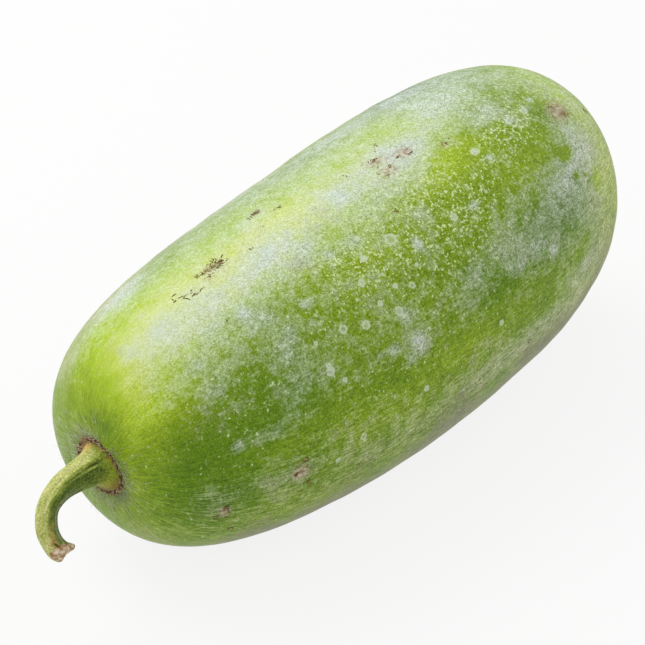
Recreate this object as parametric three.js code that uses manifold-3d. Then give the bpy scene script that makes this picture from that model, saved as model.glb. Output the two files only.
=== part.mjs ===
// A winter melon (wax gourd) of the long kind, picked with its stem and lying on its side.
//
// Units are millimetres and +Z is up. The long axis runs along X, with the stem at -X and the blossom end
// at +X. The origin is the middle of the bounding box in X and Y, on the surface that the melon lies on.
//
// The body is a blunt spindle turned on its axis, then bowed a little, swollen unevenly as a grown fruit
// is, and pressed flat underneath where its own weight rests. The stem is a ribbed stalk with a flared
// foot, bent along a curve and cut off at a slant. The blossom scar is a corky button on the far end.

import * as THREE from 'three';
import { mergeVertices } from 'three/addons/utils/BufferGeometryUtils.js';
import Module from 'manifold-3d';

const wasm = await Module();
wasm.setup();

// ---------------------------------------------------------------- driving dimensions

// Body
const HALF_LENGTH = 167;
const MID_RADIUS = 75;
const TAPER = 0.08;               // share that the blossom end gains on the middle, and the stem end loses
const STEM_BLUNTNESS = 3.3;       // power of the end's outline: 2 is an ellipse, and more is blunter
const BLOSSOM_BLUNTNESS = 2.9;
const BOW_TO_SIDE = 7.8;          // how far both ends bend towards +Y
const BOW_UP = 2.2;               // how far both ends lift
const AXIS_HEIGHT = 71.6;         // of the axis's middle: less than the radius, so the underside is flat
const FLAT_EDGE = 0.2;            // half the height over which the flat underside blends into the round

// Dimples around the stem and the blossom scar: how deep, and how far they reach from the axis
const STEM_DIMPLE = { depth: 1.5, reach: 18 };
const BLOSSOM_DIMPLE = { depth: 2, reach: 14 };

// Slow swells and hollows of the body. Along runs from -1 at the stem to 1 at the blossom end, and the
// angle in degrees from +Y over the top to -Y. Length and spread say how far each reaches, and height how
// far it stands out.
const SWELLS = [
  { along: -0.12, angle: 216, length: 0.22, spread: 40, height: 0.8 },
  { along: -0.60, angle: 224, length: 0.22, spread: 42, height: -0.6 },
  { along: 0.38, angle: 212, length: 0.22, spread: 40, height: -0.5 },
  { along: 0.05, angle: 46, length: 0.16, spread: 36, height: 0.6 },
  { along: 0.58, angle: 54, length: 0.22, spread: 38, height: -0.5 },
  { along: -0.35, angle: 120, length: 0.30, spread: 34, height: -0.7 },
  { along: 0.30, angle: 140, length: 0.32, spread: 36, height: 0.7 },
  { along: -0.30, angle: 330, length: 0.30, spread: 40, height: 0.8 },
  { along: 0.50, angle: 345, length: 0.28, spread: 40, height: -0.9 },
  { along: -0.95, angle: 285, length: 0.16, spread: 48, height: 2.4 },
  { along: 0.90, angle: 110, length: 0.16, spread: 36, height: 1.8 },
];

// Stem. Its middle line lies in one plane through the axis that leans 20 degrees from straight down: each
// point gives how far out from the body's end it is, and how far down in that plane.
const STEM_LEAN = 20;
const STEM_LINE = [
  { out: 0, down: -0.6 },
  { out: 12, down: -1.9 },
  { out: 24, down: -1.5 },
  { out: 33, down: 3 },
  { out: 36.9, down: 12.2 },
  { out: 34.7, down: 22.4 },
  { out: 29, down: 28.6 },
];
const STEM_ROOT = 5;              // how far the foot reaches into the body's end before it is trimmed to it
const FOOT_RADIUS = 12.9;
const FOOT_HEIGHT = 1;            // of the foot's straight edge
const FOOT_FLARE = 7.2;           // how far the foot stands out from the shank
const FOOT_FADE = 3.4;            // over what length that fades
const SHANK_RADIUS = 6.9;         // near the foot
const WAIST_RADIUS = 4.6;         // from the bend on
const SHANK_LENGTH = 38;
const END_SWELL = 0.5;            // how much thicker the cut end is than the waist
const END_LENGTH = 12;            // over what length it thickens

// Ribs of the stem, and hollows pressed into its foot. Angles go round the stem in degrees from the inner
// side of its bend. Spread is the half width in degrees.
const STEM_RIBS = [
  { angle: 38, spread: 20, height: 1 },
  { angle: 112, spread: 6, height: 0.25 },
  { angle: 130, spread: 18, height: 0.75 },
  { angle: 163, spread: 12, height: 0.5 },
  { angle: 204, spread: 20, height: 0.7 },
  { angle: 252, spread: 20, height: 0.9 },
  { angle: 310, spread: 24, height: 1 },
];
const RIB_DEPTH = 0.13;           // height of a full rib as a share of the stem's radius
const RIB_LEAST = 0.2;            // share of its height that a rib has at the foot
const RIB_START = 2;              // distance from the body's end where the ribs begin to rise
const RIB_FULL = 14;              // and where they are full
const FOOT_HOLLOWS = [
  { angle: 132, spread: 26, depth: 0.13 },
  { angle: 98, spread: 20, depth: 0.06 },
];
const HOLLOW_FADE = 3;            // over what length the hollows fade

// The cut end slants: it is cut back most on one side.
const CUT_SLANT = 10;
const CUT_SIDE = 132;             // angle of the side that is cut back
const SLANT_LENGTH = 22;          // over what length the sections turn to the slant
const CUT_DOME = 2.2;             // how far the middle of the cut stands out

// Blossom scar
const SCAR_RADIUS = 5.5;
const SCAR_HEIGHT = 1.4;
const SCAR_ROOT = 4;

const GAP = 0.3;                  // clear space between pieces that touch

// Mesh fineness
const BODY_SIDES = 64;
const BODY_STEPS = 44;
const OUTLINE_STEPS = 300;        // for working out the body's outline, before even steps are taken on it
const STEM_SIDES = 48;
const STEM_STEPS = 30;
const DOME_STEPS = 4;
const STEP_GROWTH = 1.25;         // above 1, the steps along the stem are closer at its foot
const SCAR_SIDES = 20;

// ---------------------------------------------------------------- helpers

// A LatheGeometry or a boolean's result as one closed mesh with shared vertices and no triangle without
// area.
function weld(geometry) {
  const bare = new THREE.BufferGeometry();
  bare.setAttribute('position', geometry.getAttribute('position'));
  bare.setIndex(geometry.getIndex());
  const merged = mergeVertices(bare, 1e-4);
  const index = merged.getIndex().array;
  const kept = [];
  for (let i = 0; i < index.length; i += 3) {
    const [a, b, c] = [index[i], index[i + 1], index[i + 2]];
    if (a !== b && b !== c && c !== a) {
      kept.push(a, b, c);
    }
  }
  merged.setIndex(kept);
  return merged;
}

function toSolid(geometry) {
  const welded = weld(geometry);
  const vertProperties = new Float32Array(welded.getAttribute('position').array);
  const triVerts = new Uint32Array(welded.getIndex().array);
  return new wasm.Manifold(new wasm.Mesh({ numProp: 3, vertProperties, triVerts }));
}

function toGeometry(solid) {
  const mesh = solid.getMesh();
  const geometry = new THREE.BufferGeometry();
  geometry.setAttribute('position', new THREE.BufferAttribute(mesh.vertProperties, 3));
  geometry.setIndex(new THREE.BufferAttribute(mesh.triVerts, 1));
  geometry.computeVertexNormals();
  return geometry;
}

// Move every vertex of a geometry: place(vertex) changes the vertex that it is given.
function moveVertices(geometry, place) {
  const position = geometry.getAttribute('position');
  const vertex = new THREE.Vector3();
  for (let i = 0; i < position.count; i += 1) {
    vertex.fromBufferAttribute(position, i);
    place(vertex);
    position.setXYZ(i, vertex.x, vertex.y, vertex.z);
  }
  geometry.computeVertexNormals();
  return geometry;
}

// ---------------------------------------------------------------- body

// The middle line of the body: bowed by the square of the distance from the middle, and sloped so that
// the tapered body's underside is level.
function axisPoint(along) {
  const x = along * HALF_LENGTH;
  const y = BOW_TO_SIDE * along ** 2;
  const z = AXIS_HEIGHT + BOW_UP * along ** 2 + MID_RADIUS * TAPER * along;
  return new THREE.Vector3(x, y, z);
}

// How far the swells and hollows lift the surface at a place on the body.
function swell(along, angle) {
  let lift = 0;
  for (const { along: at, angle: round, length, spread, height } of SWELLS) {
    const turned = THREE.MathUtils.radToDeg(angle) - round;
    const across = (THREE.MathUtils.euclideanModulo(turned + 180, 360) - 180) / spread;
    lift += height * Math.exp(-(((along - at) / length) ** 2) - across ** 2);
  }
  return lift;
}

// The height of a point after its weight has pressed the underside flat: nothing below the surface, a
// quarter square over a narrow band, and unchanged above it.
function settle(height) {
  if (height <= -FLAT_EDGE) {
    return 0;
  }
  if (height >= FLAT_EDGE) {
    return height;
  }
  return (height + FLAT_EDGE) ** 2 / (4 * FLAT_EDGE);
}

function dimple(radius, { depth, reach }) {
  return depth * Math.exp(-((radius / reach) ** 2));
}

// Radius and place along the axis, in even steps from the stem's pole to the blossom's. The outline is a
// blunt ellipse, cos and sin raised to 2 / power, and its radius grows towards the blossom end.
function bodyProfile(skin) {
  const outline = [];
  for (let i = 0; i <= OUTLINE_STEPS; i += 1) {
    const turn = (Math.PI * i) / OUTLINE_STEPS;
    const power = turn < Math.PI / 2 ? STEM_BLUNTNESS : BLOSSOM_BLUNTNESS;
    const along = -Math.sign(Math.cos(turn)) * Math.abs(Math.cos(turn)) ** (2 / power);
    const across = i === OUTLINE_STEPS ? 0 : Math.sin(turn) ** (2 / power);
    const fullest = MID_RADIUS * (1 + TAPER * along) + skin;
    outline.push(new THREE.Vector2(fullest * across, (HALF_LENGTH + skin) * along));
  }
  const curve = new THREE.SplineCurve(outline);
  curve.arcLengthDivisions = 4 * OUTLINE_STEPS;
  return curve.getSpacedPoints(BODY_STEPS);
}

// The body, or with a skin greater than zero the same shape grown by that much all over.
function bodyGeometry(skin) {
  const turned = new THREE.LatheGeometry(bodyProfile(skin), BODY_SIDES);
  return moveVertices(turned, (vertex) => {
    const along = vertex.y / (HALF_LENGTH + skin);
    const radius = Math.hypot(vertex.x, vertex.z);
    const angle = Math.atan2(vertex.x, vertex.z);
    const share = radius / MID_RADIUS;
    const swollen = radius + share * swell(along, angle);
    const middle = axisPoint(along);
    vertex.x = vertex.y + (along < 0 ? dimple(radius, STEM_DIMPLE) : -dimple(radius, BLOSSOM_DIMPLE));
    vertex.y = middle.y + swollen * Math.cos(angle);
    vertex.z = settle(middle.z + swollen * Math.sin(angle));
  });
}

const grownBody = toSolid(bodyGeometry(GAP));

// ---------------------------------------------------------------- stem

const stemPole = axisPoint(-1).add(new THREE.Vector3(STEM_DIMPLE.depth, 0, 0));
const stemDown = new THREE.Vector3(0, -1, 0).applyAxisAngle(
  new THREE.Vector3(1, 0, 0),
  THREE.MathUtils.degToRad(90 - STEM_LEAN),
);
const stemOut = new THREE.Vector3(-1, 0, 0);
const stemSide = stemOut.clone().cross(stemDown);
const stemCurve = new THREE.CatmullRomCurve3(
  STEM_LINE.map(({ out, down }) => (
    stemPole.clone().addScaledVector(stemOut, out).addScaledVector(stemDown, down)
  )),
);
const stemLength = stemCurve.getLength();

// The stem's thickness: a foot that flares in a hollow curve, a waist, and a slightly thicker cut end.
function stemRadius(distance) {
  const { lerp, smoothstep } = THREE.MathUtils;
  const flare = FOOT_FLARE * Math.exp(-distance / FOOT_FADE);
  const shank = lerp(SHANK_RADIUS, WAIST_RADIUS, smoothstep(distance, FOOT_FADE, SHANK_LENGTH));
  const end = END_SWELL * smoothstep(distance, stemLength - END_LENGTH, stemLength);
  return Math.min(flare + shank + end, FOOT_RADIUS);
}

// What the ribs and the foot's hollows add to the stem's radius, as a share of it.
function ribShare(angle, distance) {
  const { euclideanModulo, lerp, smoothstep } = THREE.MathUtils;
  const hill = (at, spread) => {
    const turned = euclideanModulo(angle - at + 180, 360) - 180;
    return Math.exp(-((turned / spread) ** 2));
  };
  const grown = lerp(RIB_LEAST, 1, smoothstep(distance, RIB_START, RIB_FULL));
  const ribs = STEM_RIBS.reduce((sum, rib) => sum + rib.height * hill(rib.angle, rib.spread), -0.5);
  const hollows = FOOT_HOLLOWS.reduce((sum, dent) => sum + dent.depth * hill(dent.angle, dent.spread), 0);
  const faded = Math.exp(-Math.max(distance, 0) / HOLLOW_FADE);
  return RIB_DEPTH * ribs * grown - hollows * faded;
}

function stemProfile() {
  const points = [new THREE.Vector2(0, -STEM_ROOT), new THREE.Vector2(FOOT_RADIUS, -STEM_ROOT)];
  for (let i = 0; i <= STEM_STEPS; i += 1) {
    const share = i / STEM_STEPS;
    const distance = THREE.MathUtils.lerp(FOOT_HEIGHT, stemLength, share ** STEP_GROWTH);
    points.push(new THREE.Vector2(stemRadius(distance), distance));
  }
  const tip = stemRadius(stemLength);
  for (let i = 1; i <= DOME_STEPS; i += 1) {
    const turned = (i / DOME_STEPS) * (Math.PI / 2);
    const radius = i < DOME_STEPS ? tip * Math.cos(turned) : 0;
    points.push(new THREE.Vector2(radius, stemLength + CUT_DOME * Math.sin(turned)));
  }
  return points;
}

// A straight ribbed stalk laid along the curve: height on the stalk becomes distance along the curve, and
// the section stays square to it up to the slanting cut.
function stemGeometry() {
  const { clamp, degToRad, radToDeg, smoothstep } = THREE.MathUtils;
  const straight = new THREE.LatheGeometry(stemProfile(), STEM_SIDES);
  const tip = stemRadius(stemLength);
  return moveVertices(straight, (vertex) => {
    const distance = vertex.y;
    const angle = Math.atan2(vertex.x, vertex.z);
    const plain = Math.hypot(vertex.x, vertex.z);
    const radius = plain * (1 + ribShare(radToDeg(angle), distance));
    const toSide = Math.cos(angle - degToRad(CUT_SIDE));
    const toCut = smoothstep(distance, stemLength - SLANT_LENGTH, stemLength);
    const along = distance - (CUT_SLANT / 2) * toCut * (1 + (plain / tip) * toSide);
    const share = clamp(along / stemLength, 0, 1);
    const forward = stemCurve.getTangentAt(share);
    const inner = new THREE.Vector3().crossVectors(stemSide, forward);
    vertex.copy(stemCurve.getPointAt(share)).addScaledVector(forward, along - share * stemLength);
    vertex.addScaledVector(inner, radius * Math.cos(angle));
    vertex.addScaledVector(stemSide, radius * Math.sin(angle));
  });
}

// ---------------------------------------------------------------- blossom scar

// A round button of cork with a rolled rim and a shallow middle, standing on the dimple of the blossom
// end.
function scarGeometry() {
  const profile = [
    new THREE.Vector2(0, -SCAR_ROOT),
    new THREE.Vector2(SCAR_RADIUS, -SCAR_ROOT),
    new THREE.Vector2(SCAR_RADIUS, SCAR_HEIGHT * 0.4),
    new THREE.Vector2(SCAR_RADIUS * 0.88, SCAR_HEIGHT * 0.85),
    new THREE.Vector2(SCAR_RADIUS * 0.68, SCAR_HEIGHT),
    new THREE.Vector2(SCAR_RADIUS * 0.42, SCAR_HEIGHT * 0.72),
    new THREE.Vector2(0, SCAR_HEIGHT * 0.5),
  ];
  const pole = axisPoint(1);
  const button = new THREE.LatheGeometry(profile, SCAR_SIDES);
  button.rotateZ(-Math.PI / 2);
  button.translate(pole.x - BLOSSOM_DIMPLE.depth, pole.y, pole.z);
  return button;
}

// ---------------------------------------------------------------- the model

const rind = new THREE.MeshStandardMaterial({ color: '#93b24f', roughness: 0.55, metalness: 0 });
const stalk = new THREE.MeshStandardMaterial({ color: '#a3a35c', roughness: 0.7, metalness: 0 });
const cork = new THREE.MeshStandardMaterial({ color: '#6f5a3c', roughness: 0.85, metalness: 0 });

function named(name, geometry, material) {
  const mesh = new THREE.Mesh(geometry, material);
  mesh.name = name;
  return mesh;
}

const winterMelon = new THREE.Group();
winterMelon.add(named('melon', bodyGeometry(0), rind));
winterMelon.add(named('stem', toGeometry(toSolid(stemGeometry()).subtract(grownBody)), stalk));
winterMelon.add(named('blossom_scar', toGeometry(toSolid(scarGeometry()).subtract(grownBody)), cork));

const box = new THREE.Box3().setFromObject(winterMelon);
const middle = box.getCenter(new THREE.Vector3());
winterMelon.position.set(-middle.x, -middle.y, -box.min.z);

export default winterMelon;
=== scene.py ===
"""Winter melon lying on its side: its waxy rind, ridged stalk, bristles and scars.

Every shape is worked out in millimetres from the body's own formula, and put into its mesh in metres on
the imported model's axes: +X from the stem to the blossom end, +Z up.

A place on the rind is (run, turn). run is the distance along the skin from the stem's pole, in
millimetres. turn is the angle round the body, in degrees: 0 faces +Y, 90 is the top, 180 faces -Y and
270 is the underside.
"""

import bpy
import numpy as np
from mathutils import Matrix, Vector


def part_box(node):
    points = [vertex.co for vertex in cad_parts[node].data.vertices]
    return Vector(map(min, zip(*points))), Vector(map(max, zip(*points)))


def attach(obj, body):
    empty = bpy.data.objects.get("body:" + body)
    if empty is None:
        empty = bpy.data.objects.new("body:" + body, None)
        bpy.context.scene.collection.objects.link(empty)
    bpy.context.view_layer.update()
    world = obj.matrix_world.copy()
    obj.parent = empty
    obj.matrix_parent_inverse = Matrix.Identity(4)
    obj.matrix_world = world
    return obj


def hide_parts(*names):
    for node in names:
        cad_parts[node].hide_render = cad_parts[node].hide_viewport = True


MM = 0.001

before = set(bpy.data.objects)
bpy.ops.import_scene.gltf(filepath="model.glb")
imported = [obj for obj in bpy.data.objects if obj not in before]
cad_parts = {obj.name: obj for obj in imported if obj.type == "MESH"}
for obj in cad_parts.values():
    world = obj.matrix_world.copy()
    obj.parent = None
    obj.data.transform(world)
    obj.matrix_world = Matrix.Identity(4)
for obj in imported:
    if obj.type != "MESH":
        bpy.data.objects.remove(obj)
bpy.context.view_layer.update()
rng = np.random.default_rng(7)

# ---------------------------------------------------------------- the body's driving dimensions, in mm

HALF_LENGTH = 167.0
MID_RADIUS = 75.0
TAPER = 0.08                # share that the blossom end gains on the middle, and the stem end loses
STEM_BLUNTNESS = 3.3        # power of the end's outline: 2 is an ellipse, and more is blunter
BLOSSOM_BLUNTNESS = 2.9
BOW_TO_SIDE = 7.8           # how far both ends bend towards +Y
BOW_UP = 2.2                # how far both ends lift
AXIS_HEIGHT = 71.6
FLAT_EDGE = 0.5             # half the height over which the flat underside blends into the round
STEM_DIMPLE = (1.5, 18.0)   # depth, reach
BLOSSOM_DIMPLE = (2.0, 14.0)

# Broad swells and hollows: place along the axis (-1 to 1), turn, half length, half width in degrees,
# and height.
SWELLS = [
    (-0.12, 216, 0.22, 40, 0.8),
    (-0.60, 224, 0.22, 42, -0.6),
    (0.38, 212, 0.22, 40, -0.5),
    (0.05, 46, 0.16, 36, 0.6),
    (0.58, 54, 0.22, 38, -0.5),
    (-0.35, 120, 0.30, 34, -0.7),
    (0.30, 140, 0.32, 36, 0.7),
    (-0.30, 330, 0.30, 40, 0.8),
    (0.50, 345, 0.28, 40, -0.9),
    (-0.95, 285, 0.16, 48, 2.4),
    (0.90, 110, 0.16, 36, 1.8),
]

# The skin's own small unevenness: wave length and height
LUMPS = [(46, 0.22), (19, 0.10), (8, 0.035)]

# Healed wounds that stand in the surface: run, turn, half length, half width, height
WOUNDS = [
    (113, 87, 8, 3, -0.35),
    (153, 77, 3, 2, -0.3),
    (222, 92, 14, 8, -0.25),
    (322, 118, 7, 6, -0.5),
    (95, 181, 6, 5, -0.4),
    (59, 191, 4, 4, -0.3),
    (350, 124, 2.5, 3, -1.1),
    (355, 127, 3, 4, 0.7),
]

# ---------------------------------------------------------------- the stem's and foot's dimensions, in mm

STEM_LEAN = 20              # degrees that the stem's bend leans from straight down
STEM_LINE = [               # the stem's middle line: out from the body, down
    (0, -0.6), (12, -1.9), (24, -1.5), (33, 3), (36.9, 12.2), (34.7, 22.4), (29.0, 28.6),
]
STEM_ROOT = 4.0
FOOT_RADIUS = 12.9
FOOT_HEIGHT = 1.0
FOOT_FLARE = 7.2
FOOT_FADE = 3.4
SHANK_RADIUS = 6.9
WAIST_RADIUS = 4.6
SHANK_LENGTH = 38.0
END_SWELL = 0.5
END_LENGTH = 12.0
CUT_SLANT = 10.0            # how much shorter the stem is on one side of its cut
CUT_SIDE = 132              # and the angle of that side
SLANTED_LENGTH = 22.0       # how much of the stem takes up that slant
CUT_DOME = 2.2              # how far the middle of the cut stands out
CUT_LUMPS = 0.9             # height of the cut's corky lumps
ROOT_EDGE = -0.3            # where the hidden root ends and the foot begins
CREASE_DEPTH = 0.6

# Angles round the stem are in degrees from the inner side of its bend. Ribs: angle, half width, height
RIBS = [
    (38, 20, 1.0),
    (112, 6, 0.25),
    (130, 18, 0.75),
    (163, 12, 0.5),
    (204, 20, 0.7),
    (252, 20, 0.9),
    (310, 24, 1.0),
]
RIB_DEPTH = 0.13
RIB_START = (2, 14)         # the ribs grow to their full height over these distances
# The foot is pressed in here, for a few millimetres: angle, half width, share of its radius
FOOT_DENTS = [
    (132, 26, 0.13),
    (98, 20, 0.06),
]
DENT_REACH = 3.0

# The stalk's tone round it, from 0 in dark green grooves to 1 on straw-coloured faces: angle, tone
STALK_TONES = [
    (0, 0.48), (38, 0.32), (56, 0.15), (84, 0.09), (104, 0.13), (118, 0.20), (130, 0.34), (141, 0.62),
    (151, 0.84), (215, 0.84), (250, 0.70), (285, 0.30), (320, 0.62), (360, 0.48),
]

# Its strands' noise: the cells round it for each radian, and their length
STRANDS_ROUND = 7
STRAND_LENGTH = 6

# The collar's scab: half its width and thickness, how far it lies outside the foot, and its own radius
COLLAR_WIDE = 0.66
COLLAR_HIGH = 0.62
COLLAR_OUT = 0.3
COLLAR_RADIUS = 14

# ---------------------------------------------------------------- the blossom scar's dimensions, in mm

SCAR_RADIUS = 5.5
SCAR_HEIGHT = 1.4
SCAR_ROOT = 2.0             # how deep it is set into the rind
SCAR_ROOT_SHARE = 0.15      # share of its rings that lie in the root

# ---------------------------------------------------------------- mesh fineness

SKIN_RINGS = 300
SKIN_SIDES = 320
STEM_RINGS = 170
STEM_SIDES = 160
STEM_CROWDING = 1.35        # power that crowds the stem's rings towards its foot
CUT_RINGS = 18
COLLAR_RINGS = 300
COLLAR_SIDES = 14
SCAR_RINGS = 40
SCAR_SIDES = 90
THREAD_RINGS = 8
THREAD_SIDES = 6

# ---------------------------------------------------------------- helpers for shapes


def smooth_step(value, low, high):
    """0 below low, 1 above high, and 3t^2 - 2t^3 between them."""
    t = np.clip((value - low) / (high - low), 0, 1)
    return t * t * (3 - 2 * t)


def fading(value, start, end):
    """1 below start, 0 above end, and smooth between them."""
    return smooth_step(-value, -end, -start)


def band(value, rise, fall):
    """Up from 0 to 1 between the two values in rise, and down to 0 between the two in fall."""
    return smooth_step(value, *rise) * fading(value, *fall)


def hump(value, middle, half):
    """1 at the middle, and less on both sides: exp(-((value - middle) / half)^2)."""
    return np.exp(-(((value - middle) / half) ** 2))


def turned_by(turn, middle):
    """Degrees from middle to turn, between -180 and 180."""
    return (turn - middle + 180) % 360 - 180


def turn_hump(turn, middle, half):
    """A hump round a circle, in degrees."""
    return hump(turned_by(turn, middle), 0, half)


def stacked(*parts):
    """Arrays whose shapes match as one array of vectors."""
    return np.stack(np.broadcast_arrays(*parts), -1)


def waves(places, length, seed):
    """A rolling field between about -1 and 1: the mean of 14 sines of about that wave length, in
    directions and phases drawn from the seed, times 3."""
    count = 14
    draw = np.random.default_rng(seed)
    ways = draw.normal(size=(count, 3))
    ways /= np.linalg.norm(ways, axis=1, keepdims=True)
    ways *= 2 * np.pi / (length * draw.uniform(0.75, 1.3, (count, 1)))
    phases = draw.uniform(0, 2 * np.pi, count)
    return 3 * np.sin(np.tensordot(places, ways, axes=(-1, -1)) + phases).mean(-1)


def round_angles(sides):
    """Even angles round a ring, in radians."""
    return 2 * np.pi * np.arange(sides) / sides


def rings_round(middle, across, up, thick, sides, flat=1.0):
    """Rings of a tube: middle + thick (across cos a + flat up sin a), at even angles a."""
    angle = round_angles(sides)
    return (middle[..., None, :] + across[..., None, :] * (thick * np.cos(angle))[..., None]
            + up[..., None, :] * (flat * thick * np.sin(angle))[..., None])


def closed_tubes(name, points, material, values=None, fibre=None):
    """One mesh of closed tubes. points[k, i, j] is tube k's ring i and side j, in mm. The first and last
    rings of a tube shrink to one point each, its poles. values are attributes to store, and fibre is a
    vector attribute, at the same places. The UV map is side by ring, so that each tube is one island."""
    tubes, rings, sides = points.shape[:3]
    inner = rings - 2
    base = np.arange(tubes)[:, None, None] * (inner * sides + 2)
    ring = np.arange(inner - 1)[None, :, None] * sides
    side = np.arange(sides)
    after = (side + 1) % sides
    quads = stacked(base + ring + side, base + ring + after,
                    base + ring + sides + after, base + ring + sides + side)
    first = base[:, 0]
    start = first + inner * sides
    last = start - sides
    first_fan = stacked(start, first + after, first + side)
    last_fan = stacked(start + 1, last + side, last + after)
    faces = [face for part in (quads, first_fan, last_fan)
             for face in part.reshape(-1, part.shape[-1]).tolist()]

    def at_vertices(field, *size):
        field = np.broadcast_to(field, (tubes, rings, sides, *size))
        poles = np.stack([field[:, 0].mean(1), field[:, -1].mean(1)], 1)
        body = field[:, 1:-1].reshape(tubes, inner * sides, *size)
        return np.concatenate([body, poles], 1).reshape(-1, *size)

    mesh = bpy.data.meshes.new(name)
    mesh.from_pydata((at_vertices(points, 3) * MM).tolist(), [], faces)
    mesh.polygons.foreach_set("use_smooth", np.ones(len(mesh.polygons), bool))

    # Each kind of face has its corners' u and v
    du, dv = 1 / sides, 1 / (rings - 1)
    u, v = side * du, (np.arange(inner - 1)[:, None] + 1) * dv
    corners = [
        [(u, v), (u + du, v), (u + du, v + dv), (u, v + dv)],
        [(u + du / 2, 0), (u + du, dv), (u, dv)],
        [(u + du / 2, 1), (u, 1 - dv), (u + du, 1 - dv)],
    ]
    maps = [np.stack([stacked(*corner) for corner in kind], -2).reshape(-1, 2) for kind in corners]
    uv = np.concatenate([np.tile(part, (tubes, 1)) for part in maps])
    mesh.uv_layers.new(name="OFBake").data.foreach_set("uv", uv.ravel())

    for key, field in (values or {}).items():
        stored = mesh.attributes.new(key, "FLOAT", "POINT")
        stored.data.foreach_set("value", at_vertices(field).astype(np.float32))
    if fibre is not None:
        stored = mesh.attributes.new("fibre", "FLOAT_VECTOR", "POINT")
        stored.data.foreach_set("vector", at_vertices(fibre, 3).astype(np.float32).ravel())
    mesh.materials.append(material)
    mesh.validate()
    piece = bpy.data.objects.new(name, mesh)
    bpy.context.scene.collection.objects.link(piece)
    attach(piece, "root")
    return piece


# ---------------------------------------------------------------- the body's surface


def body_outline():
    """Run along the skin, place along the axis (-1 to 1) and radius, from the stem's pole to the
    blossom's. The outline is a blunt ellipse: cos and sin raised to 2 / power, its radius growing
    towards the blossom end."""
    t = np.linspace(0, np.pi, 4001)
    power = np.where(t < np.pi / 2, STEM_BLUNTNESS, BLOSSOM_BLUNTNESS)
    along = -np.sign(np.cos(t)) * np.abs(np.cos(t)) ** (2 / power)
    radius = MID_RADIUS * (1 + TAPER * along) * np.abs(np.sin(t)) ** (2 / power)
    radius[-1] = 0
    steps = np.hypot(np.diff(along) * HALF_LENGTH, np.diff(radius))
    return np.concatenate([[0], np.cumsum(steps)]), along, radius


OUTLINE_RUN, OUTLINE_ALONG, OUTLINE_RADIUS = body_outline()
SKIN_LENGTH = OUTLINE_RUN[-1]


def body_radius(run):
    """The outline's radius at that run, in mm."""
    return np.interp(run, OUTLINE_RUN, OUTLINE_RADIUS)


def blots(run, turn, marks):
    """The sum of the marks' soft round blots, each exp(-(d_run / half_run)^2 - (d_width / half_width)^2)
    times its strength, with distances in mm."""
    total = 0.0
    for at_run, at_turn, half_run, half_width, strength in marks:
        width = np.radians(turned_by(turn, at_turn)) * body_radius(run)
        total = total + strength * hump(run, at_run, half_run) * hump(width, 0, half_width)
    return total


def rind_point(run, turn, rough=True):
    """The rind's surface in mm: the outline's circle at that run, bowed, swollen, dimpled at both poles
    and pressed flat underneath. rough adds the lumps and wounds."""
    along = np.interp(run, OUTLINE_RUN, OUTLINE_ALONG)
    radius = body_radius(run)
    angle = np.radians(turn)
    swell = 0.0
    for at, middle, length, spread, height in SWELLS:
        swell = swell + height * hump(along, at, length) * turn_hump(turn, middle, spread)
    if rough:
        places = stacked(run, radius * np.cos(angle), radius * np.sin(angle))
        for number, (length, height) in enumerate(LUMPS):
            swell = swell + height * waves(places, length, 100 + number)
        swell = swell + blots(run, turn, WOUNDS)
    across = radius + radius / MID_RADIUS * swell
    depth, reach = STEM_DIMPLE
    far_depth, far_reach = BLOSSOM_DIMPLE
    dimple = np.where(along < 0, depth * hump(radius, 0, reach), -far_depth * hump(radius, 0, far_reach))
    height = AXIS_HEIGHT + BOW_UP * along**2 + MID_RADIUS * TAPER * along + across * np.sin(angle)
    edge = np.clip(height, -FLAT_EDGE, FLAT_EDGE)
    settled = np.where(height >= FLAT_EDGE, height, (edge + FLAT_EDGE) ** 2 / (4 * FLAT_EDGE))
    return stacked(HALF_LENGTH * along + dimple, BOW_TO_SIDE * along**2 + across * np.cos(angle), settled)


def unit(vectors):
    """The vectors, each made one long."""
    return vectors / np.linalg.norm(vectors, axis=-1, keepdims=True)


def rind_frame(run, turn):
    """At places on the rind: the point, the way along the run, the way round, and outwards, the last three
    one long, worked out from points half a millimetre away."""
    near = 0.5
    here = rind_point(run, turn, rough=False)
    ahead = unit(rind_point(run + near, turn, rough=False) - here)
    step = np.degrees(near / np.maximum(body_radius(run), near))
    aside = unit(rind_point(run, turn + step, rough=False) - here)
    return here, ahead, aside, unit(np.cross(aside, ahead))


def body_shift():
    """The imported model's box is centred on the origin in X and Y: the step that takes the formula's own
    axes there, in mm, found from the boxes of the smooth body and of the node it replaces."""
    run, turn = np.meshgrid(np.linspace(0, SKIN_LENGTH, 600), np.arange(0, 360, 0.75), indexing="ij")
    surface = rind_point(run, turn, rough=False).reshape(-1, 3)
    low, high = (np.array(corner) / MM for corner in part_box("melon"))
    shift = (low + high) / 2 - (surface.min(0) + surface.max(0)) / 2
    return np.array([shift[0], shift[1], 0.0])


SHIFT = body_shift()

# ---------------------------------------------------------------- colours and nodes


def linear(code):
    """An sRGB hex value as linear red, green, blue and alpha."""
    value = np.array([int(code[i:i + 2], 16) / 255 for i in (1, 3, 5)])
    value = np.where(value <= 0.04045, value / 12.92, ((value + 0.055) / 1.055) ** 2.4)
    return (*value.tolist(), 1.0)


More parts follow.
